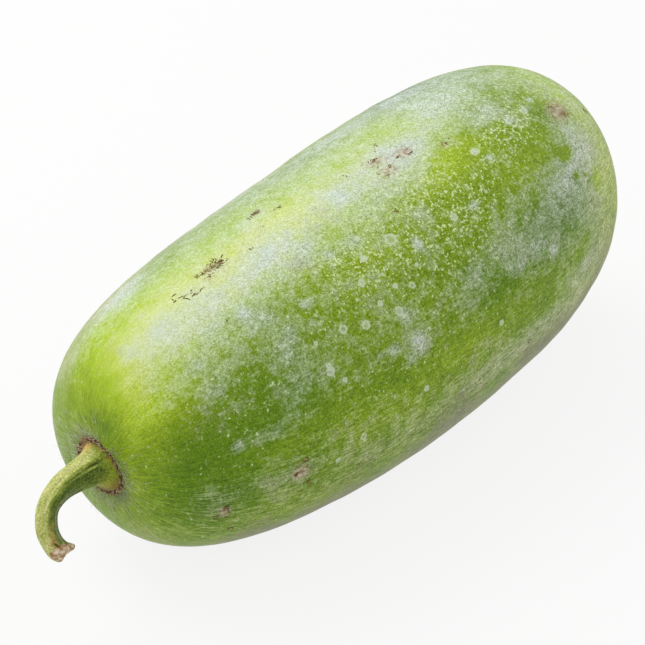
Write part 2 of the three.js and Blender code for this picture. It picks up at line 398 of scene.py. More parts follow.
def add(tree, kind, sockets=None, stops=None, **settings):
    """Adds a shader node. settings are its own properties, and stops are a colour ramp's places and
    colours. sockets gives its inputs by name or number: a value, or an output or node to link from."""
    made = tree.nodes.new("ShaderNode" + kind)
    for key, value in settings.items():
        setattr(made, key, value)
    if stops:
        elements = made.color_ramp.elements
        while len(elements) < len(stops):
            elements.new(0.5)
        for element, (position, code) in zip(elements, stops):
            element.position = position
            element.color = linear(code)
    for key, value in (sockets or {}).items():
        if isinstance(key, int):
            socket = made.inputs[key]
        else:
            socket = next(s for s in made.inputs if s.name == key and not s.is_unavailable)
        if isinstance(value, bpy.types.Node):
            value = next(s for s in value.outputs if not s.is_unavailable)
        if isinstance(value, bpy.types.NodeSocket):
            tree.links.new(value, socket)
        else:
            socket.default_value = value
    return made


def new_material(name):
    """An empty material, and its node tree."""
    material = bpy.data.materials.new(name)
    material.use_nodes = True
    material.node_tree.nodes.clear()
    return material, material.node_tree


def per_metre(size):
    """The scale that gives a texture features of that size in mm."""
    return 1000 / size


def varied(tree, base, shares, middle=0.5):
    """base, raised and lowered by noises: each one's distance from its middle, times its share."""
    for noise, share in shares:
        swing = add(tree, "Math", {0: noise, 1: middle}, operation="SUBTRACT")
        base = add(tree, "Math", {0: swing, 1: share, 2: base}, operation="MULTIPLY_ADD")
    return base


def attributes(tree, *names):
    """The piece's own values of those names, as outputs to link from."""
    return {name: add(tree, "Attribute", attribute_name=name).outputs["Fac"] for name in names}


# ---------------------------------------------------------------- the rind's marks, by run and turn
# Each is run, turn, half length and half width in mm, and strength, from the stem to the blossom end.

# Riper, yellower skin is above zero and deeper green below
RIPENESS = [
    (20, 180, 5, 24, 0.16), (23, 95, 8, 11, -0.26), (24, 112, 9, 9, -0.10), (30, 122, 12, 8, 0.10),
    (36, 84, 8, 16, -0.10), (44, 118, 13, 11, 0.14), (48, 85, 12, 20, -0.11), (48, 92, 16, 44, 0.14),
    (48, 158, 9, 10, -0.07), (54, 195, 14, 15, -0.10), (55, 186, 30, 16, -0.14),
    (58, 152, 24, 19, -0.24), (62, 126, 18, 9, 0.10), (70, 60, 18, 12, 0.12), (74, 178, 20, 11, -0.08),
    (78, 58, 12, 8, 0.10), (80, 114, 34, 12, 0.07), (92, 86, 62, 28, 0.40), (92, 97, 46, 14, 0.40),
    (92, 136, 34, 14, -0.08), (98, 152, 16, 12, -0.11), (98, 180, 11, 9, -0.10),
    (110, 170, 12, 8, -0.06), (110, 330, 60, 40, -0.10), (115, 100, 22, 7, 0.09),
    (120, 260, 60, 50, 0.12), (130, 95, 40, 6, 0.06), (133, 100, 9, 7, 0.08), (140, 47, 60, 13, -0.08),
    (150, 88, 30, 12, 0.12), (150, 92, 30, 11, 0.12), (150, 170, 40, 9, 0.08), (158, 100, 8, 7, -0.07),
    (160, 163, 50, 10, -0.09), (160, 180, 10, 8, 0.06), (170, 124, 24, 11, 0.08),
    (185, 86, 52, 28, 0.31), (185, 171, 26, 9, -0.06), (192, 168, 22, 8, 0.14), (195, 80, 30, 8, -0.05),
    (200, 108, 60, 16, 0.14), (205, 192, 60, 9, -0.05), (210, 350, 50, 40, 0.15),
    (214, 93, 10, 9, 0.10), (215, 62, 55, 12, -0.10), (225, 84, 40, 18, 0.20), (232, 101, 18, 7, 0.07),
    (242, 108, 22, 13, 0.12), (244, 154, 52, 10, -0.12), (255, 90, 50, 10, 0.06),
    (258, 160, 34, 9, -0.07), (260, 94, 14, 9, 0.06), (262, 84, 40, 26, 0.12), (269, 126, 16, 11, 0.08),
    (272, 62, 26, 14, -0.20), (280, 59, 18, 8, -0.10), (280, 146, 36, 12, -0.16),
    (282, 58, 14, 10, -0.22), (284, 62, 22, 9, -0.07), (285, 52, 20, 12, -0.20),
    (290, 70, 26, 9, -0.08), (292, 184, 10, 10, 0.14), (300, 300, 50, 40, -0.10),
    (311, 115, 9, 8, -0.14), (318, 120, 8, 7, -0.10), (318, 150, 10, 70, 0.12), (320, 70, 10, 9, -0.10),
    (326, 150, 14, 12, 0.18), (342, 125, 16, 52, 0.40),
]

# Powdery wax bloom. The strong marks along the crest, near turns 90 to 100, are also painted highlight.
BLOOM_AND_HIGHLIGHT = [
    (17, 180, 4, 90, 0.16), (28, 108, 24, 26, -0.16), (33, 40, 8, 11, -0.10), (34, 95, 12, 60, -0.12),
    (46, 150, 34, 36, -0.12), (50, 40, 8, 12, 0.08), (50, 76, 9, 8, -0.14), (50, 86, 8, 6, -0.15),
    (50, 115, 9, 7, 0.14), (54, 190, 10, 12, 0.08), (56, 92, 8, 10, -0.08), (56, 122, 11, 11, 0.12),
    (57, 89, 5, 4, 0.32), (60, 40, 50, 10, 0.30), (60, 150, 12, 8, -0.10), (60, 180, 14, 8, 0.12),
    (64, 96, 16, 12, 0.30), (70, 157, 4, 3, 0.41), (72, 118, 5, 4, 0.32), (73, 131, 6, 4, 0.30),
    (75, 93, 6, 4, 0.30), (75, 100, 14, 8, 0.10), (84, 54, 18, 8, 0.24), (84, 57, 14, 12, 0.46),
    (85, 158, 9, 4, 0.30), (88, 110, 9, 6, 0.22), (90, 55, 10, 6, 0.14), (90, 123, 24, 10, 0.14),
    (90, 300, 40, 30, 0.30), (92, 180, 16, 8, 0.14), (96, 65, 11, 11, 0.08), (97, 119, 8, 7, -0.08),
    (98, 97, 30, 16, 0.54), (100, 106, 26, 8, 0.14), (100, 118, 40, 8, 0.06), (103, 112, 4, 4, 0.30),
    (104, 115, 8, 5, 0.14), (107, 134, 6, 5, 0.30), (108, 119, 8, 4, 0.24), (108, 146, 14, 9, 0.20),
    (110, 95, 14, 6, -0.12), (110, 114, 9, 6, 0.10), (110, 190, 24, 8, 0.05), (112, 80, 12, 8, 0.08),
    (113, 128, 4, 4, 0.35), (115, 100, 12, 7, -0.09), (118, 66, 30, 12, 0.18), (121, 147, 2.5, 3, 0.46),
    (123, 101, 6, 5, 0.18), (125, 83, 110, 16, -0.10), (128, 122, 3, 2.5, 0.46),
    (130, 20, 40, 30, 0.35), (130, 185, 8, 6, 0.10), (132, 134, 60, 22, 0.04), (134, 97, 5, 4, 0.16),
    (134, 97, 12, 7, 0.16), (136, 97, 22, 12, 0.46), (136, 150, 9, 7, 0.06), (140, 80, 18, 7, 0.30),
    (140, 107, 30, 6, 0.10), (147, 152, 3, 2, 0.41), (148, 105, 5, 5, 0.30), (150, 49, 60, 8, 0.22),
    (150, 93, 10, 8, 0.10), (150, 95, 60, 5, -0.06), (150, 189, 30, 8, 0.14), (155, 112, 4, 3, 0.43),
    (155, 153, 3, 2.6, 0.57), (160, 64, 34, 10, -0.14), (160, 65, 20, 12, -0.09),
    (160, 164, 110, 8, -0.06), (160, 330, 50, 26, 0.40), (162, 160, 2.5, 2, 0.54),
    (165, 64, 7, 6, 0.20), (168, 113, 4, 4, 0.43), (168, 145, 4, 5, 0.41), (169, 156, 5, 5, 0.84),
    (170, 62, 90, 26, 0.20), (172, 62, 32, 13, 0.28), (180, 100, 12, 7, -0.09), (180, 116, 20, 6, 0.06),
    (183, 95, 5, 8, 0.27), (185, 76, 40, 8, 0.20), (185, 81, 22, 8, -0.08), (185, 115, 14, 6, 0.07),
    (188, 93, 32, 17, 0.50), (190, 97, 14, 8, 0.20), (190, 108, 26, 7, 0.10), (190, 168, 40, 6, -0.10),
    (194, 127, 2.5, 4, 0.68), (195, 135, 12, 6, 0.10), (200, 95, 30, 5, -0.06),
    (200, 180, 14, 7, -0.06), (206, 100, 20, 7, -0.12), (206, 119, 5, 4, 0.41), (208, 145, 9, 6, 0.18),
    (208, 154, 8, 6, 0.10), (210, 106, 24, 8, 0.16), (213, 154, 9, 11, 0.08), (215, 30, 40, 24, 0.35),
    (215, 147, 8, 5, 0.14), (215, 188, 20, 8, 0.12), (220, 186, 60, 12, 0.16), (226, 90, 22, 16, 0.44),
    (226, 98, 22, 11, 0.24), (228, 62, 32, 14, 0.38), (230, 290, 50, 30, 0.20), (232, 92, 12, 8, 0.12),
    (233, 127, 4, 2, 0.54), (240, 95, 16, 6, 0.14), (240, 112, 40, 6, -0.04), (240, 154, 8, 3, 0.22),
    (244, 90, 14, 8, -0.09), (246, 110, 22, 6, -0.12), (246, 147, 30, 11, 0.24), (250, 136, 8, 6, 0.10),
    (250, 176, 25, 8, -0.08), (255, 184, 30, 8, 0.16), (256, 112, 2, 2, 0.68), (256, 153, 6, 4, 0.32),
    (260, 117, 3, 1.8, 0.61), (260, 345, 40, 30, 0.40), (266, 158, 3.5, 3, 0.49),
    (268, 82, 22, 20, 0.46), (268, 90, 20, 9, 0.16), (272, 72, 24, 14, -0.12), (272, 159, 10, 8, 0.07),
    (272, 180, 10, 8, -0.12), (275, 70, 20, 9, -0.12), (275, 78, 20, 10, 0.12),
    (275, 190, 44, 14, 0.22), (276, 64, 22, 14, 0.46), (280, 163, 24, 8, 0.14), (282, 102, 16, 7, 0.36),
    (285, 75, 14, 12, -0.10), (285, 166, 16, 9, -0.08), (287, 140, 14, 8, -0.15),
    (289, 110, 3.5, 2.5, 0.61), (290, 114, 24, 8, 0.04), (290, 142, 20, 11, 0.40),
    (290, 167, 11, 8, -0.14), (290, 176, 20, 10, 0.18), (294, 170, 10, 8, -0.14),
    (295, 176, 14, 8, 0.18), (295, 190, 16, 8, 0.18), (298, 158, 20, 14, 0.18), (300, 66, 30, 14, 0.14),
    (300, 84, 34, 15, 0.28), (300, 118, 12, 6, -0.10), (300, 128, 16, 9, -0.08),
    (300, 131, 16, 9, -0.12), (300, 137, 18, 10, 0.26), (300, 174, 18, 8, 0.20),
    (304, 110, 3, 1.8, 0.57), (306, 72, 24, 16, 0.24), (312, 140, 14, 16, 0.14),
    (314, 107, 3, 1.6, 0.57), (318, 96, 14, 12, 0.14), (318, 131, 14, 12, 0.38),
    (318, 160, 16, 34, 0.20), (320, 260, 40, 30, 0.25), (326, 140, 10, 8, 0.24),
    (346, 128, 18, 52, 0.34),
]

# Fine pale dots and curls
DOTS = [
    (75, 140, 26, 16, 0.35), (120, 20, 50, 40, 0.35), (120, 134, 24, 14, 0.40), (150, 114, 16, 8, 0.45),
    (160, 162, 50, 14, 0.25), (165, 124, 26, 14, 0.75), (190, 110, 24, 9, 0.55),
    (200, 142, 30, 12, 0.45), (200, 330, 90, 60, 0.45), (225, 106, 20, 8, 0.35),
    (225, 124, 34, 18, 0.95), (285, 112, 26, 16, 0.95), (320, 96, 20, 16, 0.50),
]

# Soft brown stain under scabs
SCABS = [
    (57, 195, 1.6, 0.8, 0.80), (60.7, 189.5, 1.4, 1.4, 0.85), (66, 206, 1.6, 1.2, 0.55),
    (92.6, 180.8, 1.3, 1.0, 1.0), (96.5, 175.8, 1.6, 0.9, 1.0), (99, 187.4, 1.6, 1.0, 0.85),
    (104, 86.5, 2.0, 1.6, 0.35), (112, 86.5, 5.5, 1.8, 0.85), (118, 87, 2.5, 1.8, 0.55),
    (127.5, 191, 0.9, 0.9, 0.60), (140, 262, 5.0, 3.0, 0.8), (149, 77, 1.6, 1.0, 0.35),
    (153, 76.6, 1.8, 1.3, 1.6), (180, 345, 4.0, 4.0, 0.7), (196, 112.3, 1.8, 1.2, 0.65),
    (243.5, 187.3, 1.8, 1.0, 0.70), (250, 20, 6.0, 3.0, 0.9), (321, 115, 2.2, 1.2, 0.75),
    (326, 120, 4.6, 2.6, 0.80),
]

# Pinkish, calloused skin round old wounds
CALLUS = [
    (60.5, 191.5, 3.0, 3.4, 0.95), (95.5, 181, 4.8, 4.8, 1.0), (110, 91, 10, 3, 0.30),
    (112, 87, 6, 2, 0.45), (214, 98, 5.5, 3.6, 0.80), (215, 91, 5.5, 2.6, 0.75), (222, 93, 8, 4, 0.25),
    (230, 95.5, 5.5, 3.2, 0.85), (248, 103, 5, 2.5, 0.50), (250, 20, 8, 5, 0.7),
    (324, 118, 9, 6.5, 1.0),
]

# Dark green windows in the bloom
WINDOWS = [
    (296, 142, 1.0, 1.0, 0.5), (304, 142.3, 2.4, 2.0, 1.3), (305, 133, 5.0, 3.0, 1.3),
    (311, 144.5, 1.3, 1.2, 0.9), (320, 150, 5.0, 4.0, 0.35),
]

# Round wax spots, whole discs and open rings: run, turn, radius in mm
DISCS = [
    (157, 127, 1.9), (166, 120, 1.7), (159, 136.5, 1.4), (171, 134.3, 1.3), (187, 132.5, 1.0),
    (220, 126.5, 2.0), (168, 174, 1.6), (115, 183, 1.4), (221, 169, 1.5), (121, 136, 1.1),
    (126, 153, 1.3), (169, 128.5, 0.8), (150, 131, 0.8), (244, 126, 0.9),
]
RINGS = [
    (136, 137, 2.1), (147, 140, 2.2), (184, 120, 3.0), (179, 137.5, 1.7), (129, 178, 1.8),
    (121, 147.5, 2.0), (256, 112, 2.0), (302, 110, 2.0), (166, 142.5, 2.2),
]

# Threads of dark scab: run, turn, half length and half width of their patch in mm, the degrees by which
# they head off the run, their length in mm, and how many
THREADS = [
    (111.5, 86.6, 4.6, 1.4, 0, 2.6, 26), (113.0, 86.4, 2.4, 1.2, 70, 2.0, 8),
    (104.0, 85.6, 1.2, 0.8, 60, 1.4, 3), (119.5, 88.0, 1.0, 0.8, 70, 1.6, 5),
    (106.5, 89.2, 2.4, 0.6, 20, 1.4, 6), (91.0, 89.9, 0.3, 0.2, 42, 3.4, 2),
    (94.0, 92.0, 0.3, 0.2, 25, 3.4, 2), (98.0, 93.2, 0.4, 0.2, 10, 4.2, 1),
    (96.3, 90.0, 0.6, 0.3, 20, 1.2, 2), (89.7, 88.0, 0.2, 0.2, 60, 2.2, 2),
    (89.4, 85.4, 0.3, 0.3, 85, 2.8, 2), (132.0, 91.2, 1.4, 0.4, 20, 0.9, 4),
    (95.3, 110.5, 0.5, 0.7, 90, 1.0, 3), (147.0, 85.5, 0.8, 0.5, 30, 1.0, 3),
    (148.8, 77.2, 0.7, 0.5, 20, 1.2, 4), (153.2, 76.6, 1.0, 0.7, 10, 1.8, 14),
    (159.5, 81.3, 1.6, 0.3, 0, 2.2, 4), (215.0, 90.1, 1.8, 0.35, -12, 2.4, 8),
    (209.5, 88.0, 0.7, 0.7, 40, 1.0, 3), (225.2, 84.4, 0.8, 0.5, 20, 1.1, 4),
    (221.2, 86.7, 0.6, 0.5, 20, 1.2, 3), (224.0, 94.8, 0.5, 0.4, 60, 1.6, 4),
    (229.8, 96.9, 1.2, 0.6, 20, 1.4, 9), (216.6, 96.8, 1.6, 0.9, 20, 1.2, 8),
    (212.3, 93.6, 0.6, 0.5, 20, 1.2, 3), (208.6, 95.7, 0.7, 0.5, 20, 1.2, 4),
    (210.2, 99.6, 1.2, 0.5, 10, 1.2, 5), (197.9, 88.5, 0.6, 0.5, 20, 1.2, 3),
    (232.0, 91.5, 2.0, 1.4, 10, 1.0, 4), (248.5, 102.3, 2.6, 0.8, 20, 1.2, 9),
    (196.5, 112.4, 0.9, 0.7, 30, 1.1, 5), (96.4, 175.8, 1.2, 0.6, 10, 1.4, 12),
    (92.7, 180.8, 0.9, 0.6, 0, 1.4, 11), (99.2, 187.4, 1.4, 0.8, 20, 1.3, 10),
    (99.5, 181.5, 1.0, 1.2, 40, 1.0, 3), (60.8, 189.4, 0.9, 1.2, 40, 1.4, 10),
    (62.4, 191.7, 0.7, 0.5, 20, 1.2, 5), (61.0, 195.3, 0.8, 0.5, 0, 1.3, 5),
    (57.0, 195.0, 1.2, 0.4, 0, 1.5, 5), (66.0, 206.0, 1.0, 0.6, 20, 1.2, 4),
    (127.6, 191.2, 0.4, 0.5, 40, 0.9, 3), (243.5, 187.4, 1.2, 0.4, 10, 1.3, 5),
    (127.0, 160.0, 1.2, 0.6, 20, 0.8, 3), (320.5, 115.0, 1.6, 0.8, 0, 1.2, 6),
    (326.0, 121.0, 2.4, 1.2, 20, 1.2, 7), (350.5, 124.3, 1.0, 0.5, 10, 1.6, 4),
    (140.0, 262.0, 4.0, 2.0, 10, 2.4, 16), (250.0, 20.0, 5.0, 2.4, 0, 2.6, 18),
    (180.0, 345.0, 3.0, 2.6, 30, 2.0, 12),
]

# How ripe, waxy and dotted the rind is where no mark lies, and how strongly the wax marks, with their
# painted highlight, count
PLAIN_RIPENESS = 0.425
PLAIN_BLOOM = 0.03
PLAIN_DOTS = 0.02
BLOOM_AND_HIGHLIGHT_STRENGTH = 1.13

# Soft zones: middle and half width, of run in mm or of turn in degrees
NEAR_STEM = (12, 26)
SMOOTH_STEM_END = (5, 80)
LOW_SIDE = (212, 50)
CROWN = (84, 22)
CROWN_END = (220, 300)      # the runs over which it fades
# The top rim on the +Y side: its beige wax is painted sheen, and its grain is calmer
BACK = (40, 14)

# The zone at the blossom end's far side comes up over these runs and turns
FAR_RUN = (285, 350)
FAR_TURN = (118, 150)

# The soil-stained patch where the melon lay, which along the low limb on the -Y side is also painted shade:
# its edge on the -Y side as run and turn, how far that edge wanders in degrees, and the turns and runs over
# which the patch fades
SOIL_AND_SHADE_EDGE = [
    (50, 244), (75, 226), (100, 218), (150, 212), (250, 205), (300, 200), (330, 194), (350, 186),
]
SOIL_AND_SHADE_WANDER = 7
SOIL_AND_SHADE_FADE = (-26, 4)
SOIL_AND_SHADE_END = (262, 335)
SOIL_AND_SHADE_RUN = ((40, 90), (305, 374))

# The streaks' noise: its cells round the body for each radian, and their length in mm
STREAKS_ROUND = 70
STREAK_LENGTH = 7


def waxy_rind():
    """Winter melon skin: a smooth, hard green rind under a powdery wax that has rubbed off in places. The
    eye sees mottled yellow-greens, a grainy grey bloom with green pits, pale pores, curls and spots, healed
    brown scabs, and a satin gloss. The wax's strong patches along the crest are also painted highlight, and
    its beige along the top rim is painted sheen."""
    material, tree = new_material("waxy rind")
    place = add(tree, "TexCoord").outputs["Object"]
    mask = attributes(tree, "ripe", "bloom_and_highlight", "dots", "scab", "callus", "window", "streaked", "smooth",
                      "dust_and_rim_sheen", "soil_and_shade")

    # Noises from coarse to fine: 24 mm clouds, 6 mm mottle, 1.8 mm grain and 0.65 mm powder. The real
    # powder is finer still, and this is as coarse as it has to be to show.
    cloud, mottle, grain, powder = (
        add(tree, "TexNoise", {"Vector": place, "Scale": per_metre(size), "Detail": detail})
        for size, detail in ((24, 2.0), (6, 2.0), (1.8, 1.0), (0.65, 0.0)))
    run_place = add(tree, "Attribute", attribute_name="fibre").outputs["Vector"]
    streaks = add(tree, "TexNoise", {"Vector": run_place, "Scale": 1.0, "Detail": 2.0, "Distortion": 0.5})

    # Pits, 0.75 mm apart, that hold less wax and look darker, and flecks that look lighter
    hollows = add(tree, "TexNoise", {"Vector": place, "Scale": per_metre(0.75), "Detail": 1.0})
    pits = add(tree, "MapRange", {"Value": hollows, "From Min": 0.48, "From Max": 0.37})
    flecks = add(tree, "MapRange", {"Value": hollows, "From Min": 0.54, "From Max": 0.66})

    # How much streaks do to the ripeness, the wax and the light, by how streaked the rind is
    streak_share, streak_cover, streak_light = (
        add(tree, "Math", {0: mask["streaked"], 1: most - least, 2: least}, operation="MULTIPLY_ADD")
        for least, most in ((0.06, 0.51), (0.12, 1.02), (0.14, 1.14)))

    # Ripeness runs the rind from deep green to straw yellow
    ripe = varied(tree, mask["ripe"], [(cloud, 0.30), (mottle, 0.24), (streaks, streak_share)])
    green = add(tree, "ValToRGB", {"Fac": ripe}, stops=[
        (0.0, "#496d02"), (0.25, "#678c06"), (0.5, "#8ba918"), (0.75, "#afcb30"), (1.0, "#d6e276")])

    # Wax bloom: powder that covers where its patches, clouds and grain add up, and is thinner in pits.
    # Along the crest its strong patches are also painted highlight.
    even = add(tree, "Math", {0: mask["smooth"], 1: -0.5, 2: 0.8}, operation="MULTIPLY_ADD")
    patchy = add(tree, "Math", {0: mask["streaked"], 1: -0.25, 2: even}, operation="MULTIPLY_ADD")
    cover = varied(tree, mask["bloom_and_highlight"], [
        (cloud, 0.50), (mottle, patchy), (grain, 0.50), (streaks, streak_cover)])
    bloom_and_highlight = add(tree, "MapRange", {"Value": cover, "From Max": 0.9, "To Max": 0.95})
    lost = add(tree, "Math", {0: pits, 1: bloom_and_highlight}, operation="MULTIPLY")
    pitted = add(tree, "Math", {0: lost, 1: -0.30, 2: bloom_and_highlight}, operation="MULTIPLY_ADD")
    open_bloom_and_highlight = add(tree, "Math", {0: pitted, 1: mask["window"]}, operation="SUBTRACT", use_clamp=True)
    # The wax is beige where dust lies on the low and far sides; along the top rim, in the back zone, that
    # beige is painted sheen
    wax = add(tree, "Mix", {"Factor": mask["dust_and_rim_sheen"], "A": linear("#cfdcd3"), "B": linear("#d2ccae")},
              data_type="RGBA")
    waxed = add(tree, "Mix", {"Factor": open_bloom_and_highlight, "A": green, "B": wax}, data_type="RGBA")
    # Soil stain where the melon lay, and painted shade: a greyish brown that darkens the low limb on the -Y
    # side
    muddy_and_shaded = varied(tree, mask["soil_and_shade"], [(cloud, 1.4), (mottle, 0.8)])
    dirt_and_shade = add(tree, "MapRange", {"Value": muddy_and_shaded, "From Min": 0.15, "From Max": 1.05, "To Max": 0.76})
    soiled_and_shaded = add(tree, "Mix", {"Factor": dirt_and_shade, "A": waxed, "B": linear("#88846c")}, data_type="RGBA")

    # The finest grain changes how light the rind is and hardly its hue. It is weak where the rind is
    # smooth, and streaks show where it is streaked.
    fine = varied(tree, 0.0, [(grain, 0.60), (powder, 0.40)])
    fine = varied(tree, fine, [(pits, -0.30), (flecks, 0.28)], middle=0.0)
    grainy = add(tree, "Math", {0: 1.0, 1: mask["smooth"]}, operation="SUBTRACT")
    fine = add(tree, "Math", {0: fine, 1: grainy, 2: 1.0}, operation="MULTIPLY_ADD")
    light = varied(tree, fine, [(streaks, streak_light)])
    shaded = add(tree, "VectorMath", {0: soiled_and_shaded, "Scale": light}, operation="SCALE")

    # Pale pores: small round cells, most left out, thickest where the dots attribute says
    cells = add(tree, "TexVoronoi", {"Vector": place, "Scale": per_metre(1.25)})
    chance = add(tree, "SeparateColor", {"Color": cells.outputs["Color"]})
    likely = add(tree, "Math", {0: mask["dots"], 1: 0.40, 2: chance}, operation="MULTIPLY_ADD")
    size = add(tree, "MapRange", {"Value": likely, "From Min": 0.97, "From Max": 1.25, "To Max": 0.50})
    depth = add(tree, "Math", {0: size, 1: cells}, operation="SUBTRACT")
    pores = add(tree, "MapRange", {"Value": depth, "From Min": -0.02, "From Max": 0.10, "To Max": 0.95})
    pored = add(tree, "Mix", {"Factor": pores, "A": shaded, "B": linear("#e0eeaa")}, data_type="RGBA")

    # Wax curls: short pieces of the lines along which a 2.6 mm noise is half way up, about 0.4 mm wide
    field = add(tree, "TexNoise", {"Vector": place, "Scale": per_metre(2.6), "Detail": 1.0})
    centred = add(tree, "Math", {0: field, 1: 0.5}, operation="SUBTRACT")
    off_line = add(tree, "Math", {0: centred}, operation="ABSOLUTE")
    line = add(tree, "MapRange", {"Value": off_line, "From Min": 0.048, "From Max": 0.012, "To Max": 0.9})
    broken = add(tree, "Math", {0: mask["dots"], 1: 0.22, 2: grain}, operation="MULTIPLY_ADD")
    kept = add(tree, "MapRange", {"Value": broken, "From Min": 0.68, "From Max": 0.76})
    curls = add(tree, "Math", {0: line, 1: kept}, operation="MULTIPLY")
    spotted = add(tree, "Mix", {"Factor": curls, "A": pored, "B": linear("#e0eebc")}, data_type="RGBA")

    # Round wax spots, by the nearest one's distance as a share of its radius, with a grainy rim. The
    # rings' middles are mostly bare.
    for spots, middle_share in ((DISCS, 0.80), (RINGS, 0.35)):
        nearest = 9.0
        for run, turn, radius in spots:
            middle = (rind_point(run, turn) + SHIFT) * MM
            away = add(tree, "VectorMath", {0: place, 1: middle.tolist()}, operation="DISTANCE")
            share = add(tree, "Math", {0: away.outputs["Value"], 1: radius * MM}, operation="DIVIDE")
            nearest = add(tree, "Math", {0: nearest, 1: share}, operation="MINIMUM")
        uneven = add(tree, "Math", {0: powder, 1: 0.8, 2: nearest}, operation="MULTIPLY_ADD")
        disc = add(tree, "MapRange", {"Value": uneven, "From Min": 1.52, "From Max": 1.30, "To Max": 0.80})
        inside = add(tree, "MapRange", {"Value": uneven, "From Min": 0.85, "From Max": 1.10,
                                        "To Min": middle_share})
        spot = add(tree, "Math", {0: disc, 1: inside}, operation="MULTIPLY")
        spotted = add(tree, "Mix", {"Factor": spot, "A": spotted, "B": linear("#d4e2c0")},
                      data_type="RGBA")

    # Callus: beige to pinkish brown, grained
    raw = add(tree, "Math", {0: powder, 1: 1.2, 2: mask["callus"]}, operation="MULTIPLY_ADD")
    callus = add(tree, "MapRange", {"Value": raw, "From Min": 0.75, "From Max": 1.45, "To Max": 0.9})
    skin_tone = add(tree, "MapRange", {"Value": grain, "From Min": 0.35, "From Max": 0.62})
    flesh = add(tree, "Mix", {"Factor": skin_tone, "A": linear("#93785e"), "B": linear("#d3c8ae")},
                data_type="RGBA")
    calloused = add(tree, "Mix", {"Factor": callus, "A": spotted, "B": flesh}, data_type="RGBA")

    # Scab stain: brown, in broken grains
    torn = add(tree, "Math", {0: grain, 1: 0.9, 2: powder}, operation="MULTIPLY_ADD")
    ragged = add(tree, "Math", {0: torn, 1: mask["scab"]}, operation="ADD")
    scab = add(tree, "MapRange", {"Value": ragged, "From Min": 1.25, "From Max": 1.75, "To Max": 0.9})
    brown = add(tree, "Mix", {"Factor": powder, "A": linear("#483816"), "B": linear("#a0844c")},
                data_type="RGBA")
    finished = add(tree, "Mix", {"Factor": scab, "A": calloused, "B": brown}, data_type="RGBA")

    # Wax is matt and bare rind is satin
    roughness = add(tree, "MapRange", {"Value": open_bloom_and_highlight, "From Max": 0.8,
                                       "To Min": 0.42, "To Max": 0.72})
    raised = add(tree, "Math", {0: powder, 1: 0.4, 2: grain}, operation="MULTIPLY_ADD")
    waxy = add(tree, "Math", {0: open_bloom_and_highlight, 1: 0.5, 2: raised}, operation="MULTIPLY_ADD")
    sunk = add(tree, "Math", {0: scab, 1: -0.6, 2: waxy}, operation="MULTIPLY_ADD")
    bump = add(tree, "Bump", {"Height": sunk, "Distance": 0.12 * MM, "Strength": 0.6})
    skin = add(tree, "BsdfPrincipled", {
        "Base Color": finished, "Roughness": roughness, "Normal": bump, "IOR": 1.45,
        "Specular IOR Level": 0.20,
        "Sheen Weight": 0.12, "Sheen Roughness": 0.28, "Sheen Tint": linear("#e8e2dc"),
    })
    add(tree, "OutputMaterial", {"Surface": skin})
    return material


def make_skin():
    """The whole rind as one closed surface: even steps of run from pole to pole, even steps of turn from
    the underside round."""
    run = np.linspace(0, SKIN_LENGTH, SKIN_RINGS)[:, None]
    turn = -90 + 360 * np.arange(SKIN_SIDES)[None, :] / SKIN_SIDES
    angle = np.radians(turn)
    points = rind_point(run, turn) + SHIFT
    near_stem = hump(run, *NEAR_STEM)
    low_side = turn_hump(turn, *LOW_SIDE)
    back = turn_hump(turn, *BACK)
    crown = turn_hump(turn, *CROWN) * fading(run, *CROWN_END)
    far_side = smooth_step(run, *FAR_RUN) * smooth_step(turn % 360, *FAR_TURN)
    # The soil patch, which along the low limb is also painted shade
    border = np.interp(run, *np.transpose(SOIL_AND_SHADE_EDGE)) + SOIL_AND_SHADE_WANDER * waves(points, 50, 61)
    soil_and_shade = band(turn % 360, (border + SOIL_AND_SHADE_FADE[0], border + SOIL_AND_SHADE_FADE[1]), SOIL_AND_SHADE_END)
    values = {
        "ripe": PLAIN_RIPENESS + blots(run, turn, RIPENESS),
        "bloom_and_highlight": PLAIN_BLOOM + BLOOM_AND_HIGHLIGHT_STRENGTH * blots(run, turn, BLOOM_AND_HIGHLIGHT),
        "dots": np.clip(PLAIN_DOTS + blots(run, turn, DOTS), 0, 1),
        "scab": np.clip(blots(run, turn, SCABS), 0, 1),
        "callus": np.clip(blots(run, turn, CALLUS), 0, 1),
        "window": np.clip(blots(run, turn, WINDOWS), 0, 1),
        "streaked": np.clip(0.8 * near_stem + low_side + 0.6 * far_side, 0, 1),
        "smooth": np.clip(0.46 * hump(run, *SMOOTH_STEM_END) + 0.40 * back + 0.45 * crown, 0, 0.75),
        # Dust on the low and far sides, and painted sheen along the top rim
        "dust_and_rim_sheen": np.clip(0.9 * low_side + 0.6 * far_side + 0.8 * back, 0, 1),
        "soil_and_shade": soil_and_shade * band(run, *SOIL_AND_SHADE_RUN),
    }
    fibre = stacked(STREAKS_ROUND * np.cos(angle), STREAKS_ROUND * np.sin(angle), run / STREAK_LENGTH)
    piece = closed_tubes("rind_skin", points[None], waxy_rind(), values, fibre)
    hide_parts("melon")
    return piece


